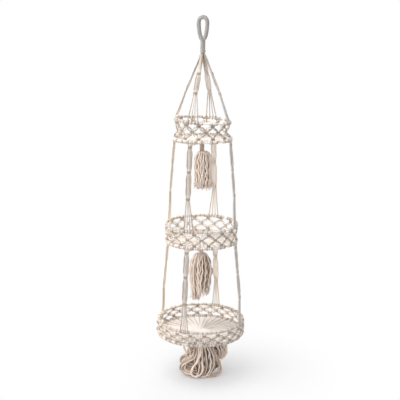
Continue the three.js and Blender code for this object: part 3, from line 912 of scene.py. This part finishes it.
# The painted shade of a fringe's yarns, negative, so they are paler
YARN_PAINTED_SHADE = -0.5
# For each layer of a tassel: its strands, the share of the reach, and its painted shade, more for the inner
# layers, between the strands
TASSEL_LAYERS = ((17, 1.0, -0.6), (16, 0.8, -0.1), (16, 0.6, 0.2), (12, 0.35, 0.3))
STRAND = 0.0062
PALE_END = STRAND * 0.8
PALE_STRANDS = 0.3
# Painted shade added to every strand of the resting tassel
RESTING_PAINTED_SHADE = 0.3
RESTING_SWING = 0.0012
SPREAD_WAYS = (1, 1, 0.6)
JITTER = 0.3
STEM_TONES = by(TIERS, 1.1, 0.6, 0.5)
STEM_CORDS = 10
STEM_CORD = 0.0037
STEM_REACH = 0.0052
WAVE_STEP = 0.006
WAVE_GROWS = 0.04
YARNS = 8
# For a hanging tassel, or a side of it: the shares of the reach and the length, and its painted shade:
# painted light for the round one and the long lobe at the camera's left, painted shadow for the short lobe at
# its right
ROUND = (0.94, 0.96, -0.55)
LONG_LOBE = (1.0, 1.1, -0.8)
SHORT_LOBE = (1.28, 0.9, 1.0)
SHORT_FROM = 0.05


def tassel_stem(tier, seed):
    """The gathered cords under a floor and the binding round them."""
    cords = Cords(f"{tier}_tassel_neck", seed)
    low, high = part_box(f"{tier}_tassel_stem")
    top, bottom = high[2], low[2]
    for i in range(STEM_CORDS):
        angle = tau * i / STEM_CORDS
        points = [
            around(angle, STEM_REACH - 0.0005, top + 0.001),
            around(angle + 0.2, STEM_REACH, (top + bottom) / 2),
            around(angle + 0.4, STEM_REACH - 0.0004, bottom),
        ]
        cords.add(points, STEM_CORD, tone=STEM_TONES[tier])
    wound = plumb(top - 0.006, 0.001, int((top - bottom) * 1000 - 10))
    wind(cords, wound, STEM_BINDING, 0.002, STEM_TONES[tier])
    return cords


def wavy(cords, places, swing, wavelength):
    """A strand's line through places, with small waves that begin a little way down."""
    phase = cords.between(0, tau)
    lean = cords.between(0, tau)
    line, length = smooth(places, WAVE_STEP)
    distance = np.linspace(0, length, len(line))
    grow = np.clip(distance / WAVE_GROWS, 0, 1) * swing
    wave = np.sin(tau * distance / wavelength + phase) * grow
    line[:, 0] += wave * cos(lean)
    line[:, 1] += wave * sin(lean)
    return line


def frayed(cords, line, length):
    """Loose yarns from the end of a strand."""
    tip = line[-1, :3]
    way = line[-1, :3] - line[-3, :3]
    way /= np.linalg.norm(way)
    for _ in range(YARNS):
        reach = length * cords.between(0.5, 1.0)
        side = np.array([cords.stray(1), cords.stray(1), 0.0])
        points = [
            tip - way * 0.004 + side * 0.0006,
            tip + way * reach * 0.3 + side * 0.0014,
            tip + way * reach * 0.65 + side * 0.0026 + np.array([0, 0, -0.001]),
            tip + way * reach + side * cords.between(0.002, 0.0065),
        ]
        cords.add([[*p, 1 - 0.12 * i, YARN_PAINTED_SHADE] for i, p in enumerate(points)], YARN, 0.004)


def round_lobe(_angle):
    """The top tassel is alike all round."""
    return ROUND


def split_lobes(angle):
    """The middle tassel parts in two: long on the camera's left, short and darker with painted shadow on its
    right.
    """
    right = cos(angle - VIEW_AZIMUTH)
    reach, length, painted_shade = LONG_LOBE if right < SHORT_FROM else SHORT_LOBE
    return (0.6 + 0.4 * abs(right)) * reach, length, painted_shade


def hanging_tassel(tier, seed, shape, shift, shoulder, taper, swing):
    """Strands that spill over the end of a stem and hang. Shape gives, for an angle, the shares of
    the reach and the length and the strands' painted shade. The tassel is widest as far down as
    the shoulder, and its foot is the taper times as wide."""
    cords = Cords(f"{tier}_tassel_strands", seed)
    low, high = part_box(f"{tier}_tassel_skirt")
    top, bottom = high[2] - 0.004, low[2]
    drop = top - bottom
    widest = (high[0] - low[0]) / 2 - 0.003
    for count, layer, depth in TASSEL_LAYERS:
        for i in range(count):
            angle = tau * (i + cords.stray(0.3)) / count
            reach_share, length_share, painted_shade = shape(angle)
            reach = widest * layer * reach_share * cords.between(0.9, 1.0)
            length = drop * length_share * cords.between(0.72, 0.86)
            twist = cords.stray(0.3)
            places = [
                around(angle, 0.0022, top + 0.006),
                around(angle, 0.0045, top + 0.001),
                around(angle, reach * 0.4, top + 0.003 * layer - shoulder * 0.06),
                around(angle + twist * 0.2, reach * 0.78, top - shoulder * 0.35),
                around(angle + twist * 0.4, reach, top - shoulder),
                around(angle + twist * 0.6, reach * (0.5 + 0.5 * taper**0.3), top - length * 0.6),
                around(angle + twist * 0.8, reach * (0.25 + 0.75 * taper), top - length * 0.82),
                around(angle + twist, reach * taper, top - length),
            ]
            shares = np.array([0, 0, 0.5, 1, 1, 1, 1, 1])[:, None]
            places = np.array(places) + shares * seen(shift, 0.0, 0.0)
            pale = cords.random.random() < PALE_STRANDS
            places = [[*place, 1.0, depth + (min(painted_shade, 0.0) if pale else painted_shade)] for place in places]
            line = wavy(cords, places, swing, cords.between(0.026, 0.042))
            cords.add(line, TASSEL_CORD * cords.between(0.85, 1.05))
            frayed(cords, line, min(FRINGE, top - length - bottom))
    return cords


def bundle(cords, guide, count, spread, painted_shade, diameter=STRAND):
    """Strands that keep together along places in millimetres: right, near and above the ground."""
    ground_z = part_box("bottom_tassel_skirt")[0][2]
    for _ in range(count):
        offset = cords.scatter(spread) * SPREAD_WAYS
        thick = diameter * cords.between(0.88, 1.08)
        places = []
        for index, (right, near, up) in enumerate(guide):
            # The strands leave the stem together and have spread out at the third place.
            share = min(1.0, index / 2)
            jitter = cords.scatter(spread * JITTER)
            spot = np.array([right, near, up]) / 1000 + (offset + jitter) * share
            spot[2] = max(spot[2], thick * 0.5)
            places.append([*seen(spot[0], spot[1], ground_z + spot[2]), 1.0, painted_shade + RESTING_PAINTED_SHADE])
        line = wavy(cords, places, RESTING_SWING, cords.between(0.03, 0.05))
        line[:, 2] = np.maximum(line[:, 2], ground_z + thick * 0.5)
        cords.add(line, thick)


def resting_tassel(seed):
    """The bottom tassel: strands that fall to the floor, bend there and lie in curls."""
    cords = Cords("bottom_tassel_strands", seed)
    for side in (-24, -8, 8, 24, 40):
        bundle(cords, [
            (0, 0, 134), (2 + side * 0.4, 4, 122), (6 + side * 0.9, 4, 80), (6 + side, 4, 30),
            (6 + side, 8, 5), (side * 0.5, 16, 3),
        ], 5, 0.006, 0.6)
        bundle(cords, [
            (0, -4, 134), (4 + side * 0.5, -22, 127), (8 + side, -34, 100), (8 + side, -40, 60),
            (6 + side * 0.9, -40, 28), (4 + side * 0.8, -46, 6), (14 + side * 0.6, -52, 3),
        ], 4, 0.0036, 0.5)
    for side in (-20, -9, 2, 13, 24, 35):
        bundle(cords, [
            (2, 4, 134), (4 + side * 0.6, 22, 127), (5 + side, 33, 102), (6 + side * 1.1, 36, 66),
            (8 + side * 0.9, 38, 32), (6 + side * 0.7, 43, 9), (-6 + side * 0.5, 50, 3),
            (-22 + side * 0.4, 46, 3),
        ], 2, 0.0022, 0.2)
    for side in (-14, -3, 8, 19, 30):
        bundle(cords, [
            (2, 5, 134), (5 + side * 0.6, 30, 122), (9 + side, 41, 92), (12 + side * 1.2, 45, 58),
            (12 + side, 46, 28), (2 + side * 0.8, 52, 8), (-10 + side * 0.6, 55, 5),
        ], 1, 0.0010, -0.4)
    # On the right a body of strands, with a looped cluster above it.
    bundle(cords, [
        (4, 2, 134), (26, 14, 122), (44, 24, 92), (60, 26, 60), (68, 26, 32), (66, 32, 12), (48, 42, 4),
        (26, 46, 4),
    ], 8, 0.0040, 0.1)
    bundle(cords, [
        (4, -2, 134), (30, -12, 128), (46, -22, 104), (58, -26, 68), (64, -22, 32), (56, -22, 8),
        (36, -32, 3),
    ], 7, 0.0040, 0.5)
    for near, count, painted_shade in ((-14, 6, 0.5), (0, 7, 0.3), (14, 7, 0.0)):
        bundle(cords, [
            (6, near * 0.4, 134), (40, near, 132), (66, near * 1.2, 122), (84, near * 1.2, 98),
            (84, near * 1.1, 74), (72, near, 58), (60, near * 0.8, 66), (64, near * 0.6, 88),
        ], count, 0.0042, painted_shade)
        bundle(cords, [
            (6, near * 0.4, 134), (34, near, 126), (54, near * 1.2, 112), (66, near * 1.2, 90),
            (64, near * 1.1, 70), (56, near, 60),
        ], 4, 0.0036, painted_shade + 0.1)
    # On the left a cluster that bends out low, with a loop in front of it.
    for near, drop, count in ((12, 0, 6), (24, -8, 6), (34, -16, 5)):
        bundle(cords, [
            (-2, 2, 134), (-10, near * 0.7, 112), (-22, near, 84 + drop), (-44, near, 70 + drop),
            (-62, near, 56 + drop), (-64, near + 4, 40 + drop), (-48, near + 10, 32 + drop),
            (-22, near + 14, 28 + drop),
        ], count, 0.0036, 0.0 if drop else 0.35)
    bundle(cords, [
        (-2, 0, 134), (-8, 10, 110), (-14, 20, 80), (-20, 24, 50), (-24, 26, 20), (-16, 30, 4),
    ], 7, 0.0056, 0.5)
    bundle(cords, [
        (0, 5, 134), (2, 34, 108), (-2, 45, 84), (-14, 50, 58), (-28, 52, 34), (-31, 55, 16), (-18, 58, 8),
        (0, 56, 14), (8, 52, 36), (4, 50, 62),
    ], 5, 0.0022, -0.4)
    bundle(cords, [
        (-2, 0, 134), (-24, 6, 112), (-36, 12, 70), (-42, 18, 32), (-56, 22, 6), (-44, 32, 4), (-20, 42, 4),
    ], 8, 0.0044, 0.1)
    bundle(cords, [
        (-3, -4, 134), (-22, -16, 122), (-34, -26, 88), (-42, -30, 44), (-54, -26, 8), (-44, -32, 3),
        (-22, -40, 3),
    ], 8, 0.0040, 0.5)
    for right in (-59, -57, -44, -41):
        bundle(cords, [
            (-3, 3, 134), (right * 0.5, 9, 136), (right * 0.85, 14, 132), (right, 16, 116),
            (right + 5, 17, 88), (right + 12, 20, 64),
        ], 1, 0.001, -0.8, PALE_END)
    bundle(cords, [(6, 6, 134), (28, 16, 126), (40, 22, 106), (46, 24, 76), (44, 22, 50)], 5, 0.0045, 0.2)
    return cords


# What a user would change


class RopeShelfSizes(bpy.types.PropertyGroup):
    """Sizes of the cord work"""

    ring_step: FloatProperty(
        name="Ring step", description="Distance between the rings of a cord's mesh",
        default=0.0026, min=0.0012, max=0.008, unit="LENGTH")
    lay_length: FloatProperty(
        name="Lay length", description="Length of cord in which a ply goes once round",
        default=0.021, min=0.008, max=0.08, unit="LENGTH")


def colour(name, description, *rgb):
    """A colour that a user may change."""
    return FloatVectorProperty(
        name=name, description=description, subtype="COLOR", size=4, min=0, max=1, default=(*rgb, 1))


class RopeShelfColours(bpy.types.PropertyGroup):
    """Colours of the cotton and of the stage"""

    # Each light colour is the cotton as lit; each shade colour is painted shade, mixed in between the plies
    # and turns and where a stretch of cord carries painted shade.
    cord_light: colour("Cord", "Natural cotton where it catches the light", 0.79, 0.75, 0.71)
    # The warm cord colour is painted warm light, mixed in towards the camera's left, far from it and lower
    # down.
    cord_painted_warm_light: colour("Warm cord", "Natural cotton at the far left, where it is warmer", 1.0, 0.88, 0.76)
    cord_shade: colour("Cord creases", "Natural cotton between its plies", 0.42, 0.33, 0.26)
    wrap_light: colour("Winding", "The winding of the loop and the neck", 0.47, 0.45, 0.43)
    wrap_shade: colour("Winding creases", "The winding between its turns", 0.34, 0.31, 0.28)
    # The floor colours are paler than the other cords' and stand in part for light falling on the floors from
    # above, a painted light.
    floor_light: colour("Floor cords", "The pale cords of the baskets' floors", 1.0, 0.92, 0.85)
    floor_shade: colour("Floor creases", "The floors' cords between their plies", 0.58, 0.48, 0.39)
    tassel_light: colour("Tassel", "The tassels' strands where they catch the light", 1.0, 0.86, 0.75)
    tassel_shade: colour("Tassel creases", "The tassels' strands in their creases", 0.42, 0.29, 0.20)
    ground: colour("Ground", "The floor that the shelf hangs over", 0.60, 0.60, 0.61)


def finishes():
    """The materials, made once."""
    colours = bpy.context.scene.rope_shelf_colours
    made = bpy.data.materials
    if "knotting_cotton" not in made:
        cotton("knotting_cotton", colours.cord_light, colours.cord_shade, 0.5, colours.cord_painted_warm_light)
        cotton("winding_cotton", colours.wrap_light, colours.wrap_shade, 0.35)
        cotton("floor_cotton", colours.floor_light, colours.floor_shade, 0.45)
        cotton("tassel_cotton_strands", colours.tassel_light, colours.tassel_shade, 0.5)
    return made


# Operators


class ROPESHELF_OT_loop(bpy.types.Operator):
    """Winds the hanging loop and binds the neck under it"""

    bl_idname = "rope_shelf.loop"
    bl_label = "Loop and neck"

    def execute(self, context):
        finish = finishes()["winding_cotton"]
        carried(hanging_loop(), finish, "wrapped_cotton", "loop", "hanging_loop")
        carried(neck_binding(), finish, "wrapped_cotton", "neck", "neck_core", "neck_wrap")
        return {"FINISHED"}


class ROPESHELF_OT_legs(bpy.types.Operator):
    """Ties the twelve legs, four above each basket"""

    bl_idname = "rope_shelf.legs"
    bl_label = "Legs"

    def execute(self, context):
        finish = finishes()["knotting_cotton"]
        for row, prefix in enumerate(SPANS):
            for index, side in enumerate(SIDES):
                seed = 100 * (1 + row) + index
                if row == 0:
                    cords = upper_leg(side, seed)
                else:
                    cords = span_leg(prefix, side, TIERS[row - 1], TIERS[row], seed)
                leg = cords.make(finish)
                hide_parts(f"{prefix}_cords_{side}")
                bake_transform(leg)
        return {"FINISHED"}


class ROPESHELF_OT_baskets(bpy.types.Operator):
    """Makes each basket's hoops, net and floor"""

    bl_idname = "rope_shelf.baskets"
    bl_label = "Baskets"

    def execute(self, context):
        knotting, pale = finishes()["knotting_cotton"], finishes()["floor_cotton"]
        for index, tier in enumerate(TIERS):
            body = f"{tier}_basket"
            for which in ("upper", "lower"):
                hoop = basket_hoop(tier, which, BEADED[tier], 300 + index)
                carried(hoop, knotting, "corded_hoop", body, f"{body}_{which}_hoop")
            carried(basket_net(tier, 400 + index), knotting, "cotton_cord", body, f"{body}_net")
            carried(basket_floor(tier, 500 + index), pale, "floor_cords", body, f"{body}_floor")
        return {"FINISHED"}


class ROPESHELF_OT_tassels(bpy.types.Operator):
    """Binds the three tassels and lets their strands hang"""

    bl_idname = "rope_shelf.tassels"
    bl_label = "Tassels"

    def execute(self, context):
        finish = finishes()["tassel_cotton_strands"]
        for index, tier in enumerate(TIERS):
            stem = tassel_stem(tier, 600 + index)
            carried(stem, finish, "wrapped_cotton", f"{tier}_tassel", f"{tier}_tassel_stem")
        hanging = {"shift": 0.0045, "shoulder": 0.020, "taper": 1.03, "swing": 0.0024}
        top = hanging_tassel("top", 700, round_lobe, **hanging)
        hanging = {"shift": -0.0060, "shoulder": 0.055, "taper": 0.8, "swing": 0.0021}
        middle = hanging_tassel("middle", 701, split_lobes, **hanging)
        for tier, cords in zip(TIERS, (top, middle, resting_tassel(702))):
            carried(cords, finish, "tassel_cotton", f"{tier}_tassel", f"{tier}_tassel_skirt")
        return {"FINISHED"}


WHITE = (1, 1, 1, 1)
WORLD_STRENGTH = 0.72
# Each lamp's place as the camera sees it, its width and its power in watts
LAMPS = {
    "overhead_lamp": ((-1.2, 0.7, 3.4), 3.0, 150.0),
    "left_lamp": ((-2.4, 0.8, 0.2), 1.8, 30.0),
    "front_lamp": ((-0.7, 2.8, 0.3), 2.2, 12.0),
    "back_lamp": ((0.6, -2.2, 0.8), 1.8, 22.0),
}
LAMPS_AIM = (0, 0, -0.65)
GROUND_RADIUS = 9.0
GROUND_SIDES = 96
GROUND_GAP = 0.0005
# How white the ground is to the camera: under the shelf, and how fast more so, a metre. Towards the shelf's
# foot it stays greyer, a painted soft shadow.
GROUND_WHITE = 0.25
GROUND_WHITER = 1.5


class ROPESHELF_OT_stage(bpy.types.Operator):
    """Sets the ground, the lamps, the world and the camera"""

    bl_idname = "rope_shelf.stage"
    bl_label = "Stage"

    def execute(self, context):
        ground()
        for name, (place, size, power) in LAMPS.items():
            lamp(name, seen(*place), size, power)
        world()
        camera()
        return {"FINISHED"}


def white_to_the_camera(finish, shader, share, kind="ShaderNodeEmission"):
    """Makes a shader paler for the camera and for reflections, so that the background is white."""
    path = finish.node("ShaderNodeLightPath")
    rays = path.other("Is Camera Ray") + path.other("Is Glossy Ray") + path.other("Is Transmission Ray")
    white = finish.node(kind, None, {"Color": WHITE, "Strength": 1.0})
    return finish.node("ShaderNodeMixShader", None, {0: rays.kept() * share, 1: shader, 2: white})


def ground():
    """A plain pale floor that keeps the shelf's shadow, and greys towards the shelf's foot in a painted soft
    shadow.
    """
    colours = bpy.context.scene.rope_shelf_colours
    low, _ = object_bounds()
    work = bmesh.new()
    bmesh.ops.create_circle(work, cap_ends=True, segments=GROUND_SIDES, radius=GROUND_RADIUS)
    bmesh.ops.translate(work, verts=work.verts, vec=(0, 0, low[2] - GROUND_GAP))
    mesh = bpy.data.meshes.new("ground")
    work.to_mesh(mesh)
    work.free()
    floor = placed("ground", mesh)
    finish = Finish(bpy.data.materials.new("ground_paint"))
    place = finish.place()
    mottle = finish.node("ShaderNodeTexNoise", None, {"Vector": place, "Scale": 3.0})
    paint = finish.node("ShaderNodeBsdfPrincipled", None, {
        "Base Color": colours.ground, "Roughness": mottle * 0.1 + 0.8, "Specular IOR Level": 0.1})
    x, y, _ = place.parts()
    share = ((x * x + y * y).root() * GROUND_WHITER + GROUND_WHITE).kept()
    mesh.materials.append(finish.finish_with(white_to_the_camera(finish, paint, share)))
    floor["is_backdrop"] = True


def lamp(name, place, size, power):
    """A soft lamp that faces the middle of the shelf."""
    data = bpy.data.lights.new(name, "AREA")
    data.shape = "DISK"
    data.size = size
    data.energy = power
    light = placed(name, data)
    light.location = place
    aim = np.array(LAMPS_AIM) - place
    light.rotation_euler = Vector(aim).to_track_quat("-Z", "Y").to_euler()


def world():
    """Soft light from all round, white to the camera."""
    studio = bpy.data.worlds.new("studio")
    bpy.context.scene.world = studio
    finish = Finish(studio)
    soft = finish.node("ShaderNodeBackground", None, {"Color": WHITE, "Strength": WORLD_STRENGTH})
    mixed = white_to_the_camera(finish, soft, 1.0, "ShaderNodeBackground")
    finish.finish_with(mixed, "ShaderNodeOutputWorld")


def camera():
    """The photograph's point of view."""
    data = bpy.data.cameras.new("view")
    data.lens = LENS
    data.sensor_width = SENSOR
    eye = placed("view", data)
    eye.location = seen(VIEW_SIDE, VIEW_DISTANCE, VIEW_HEIGHT)
    aim = seen(0.0, -cos(VIEW_PITCH), -sin(VIEW_PITCH))
    level = Vector(aim).to_track_quat("-Z", "Y")
    eye.rotation_euler = (level @ Quaternion((0, 0, 1), VIEW_ROLL)).to_euler()
    bpy.context.scene.camera = eye
    bpy.context.scene.view_settings.view_transform = "Standard"


class ROPESHELF_PT_panel(bpy.types.Panel):
    """Lists the sizes, the colours and the pieces"""

    bl_idname = "ROPESHELF_PT_panel"
    bl_label = "Rope shelf"
    bl_space_type = "VIEW_3D"
    bl_region_type = "UI"
    bl_category = "Rope shelf"

    def draw(self, context):
        for group in (context.scene.rope_shelf_sizes, context.scene.rope_shelf_colours):
            column = self.layout.column(align=True)
            for name in group.__annotations__:
                column.prop(group, name)
        column = self.layout.column(align=True)
        for operator in OPERATORS:
            column.operator(operator.bl_idname)


OPERATORS = (
    ROPESHELF_OT_loop,
    ROPESHELF_OT_legs,
    ROPESHELF_OT_baskets,
    ROPESHELF_OT_tassels,
    ROPESHELF_OT_stage,
)
CLASSES = (RopeShelfSizes, RopeShelfColours, *OPERATORS, ROPESHELF_PT_panel)


def register():
    for cls in CLASSES:
        bpy.utils.register_class(cls)
    bpy.types.Scene.rope_shelf_sizes = PointerProperty(type=RopeShelfSizes)
    bpy.types.Scene.rope_shelf_colours = PointerProperty(type=RopeShelfColours)


def unregister():
    del bpy.types.Scene.rope_shelf_colours
    del bpy.types.Scene.rope_shelf_sizes
    for cls in reversed(CLASSES):
        bpy.utils.unregister_class(cls)


def main():
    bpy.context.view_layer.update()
    register()
    bpy.ops.rope_shelf.loop()
    bpy.ops.rope_shelf.legs()
    bpy.ops.rope_shelf.baskets()
    bpy.ops.rope_shelf.tassels()
    bpy.ops.rope_shelf.stage()
    for name, length in Cords.lengths.items():
        print(f"cord {name} {length:.2f} m")


if __name__ == "__main__":
    main()
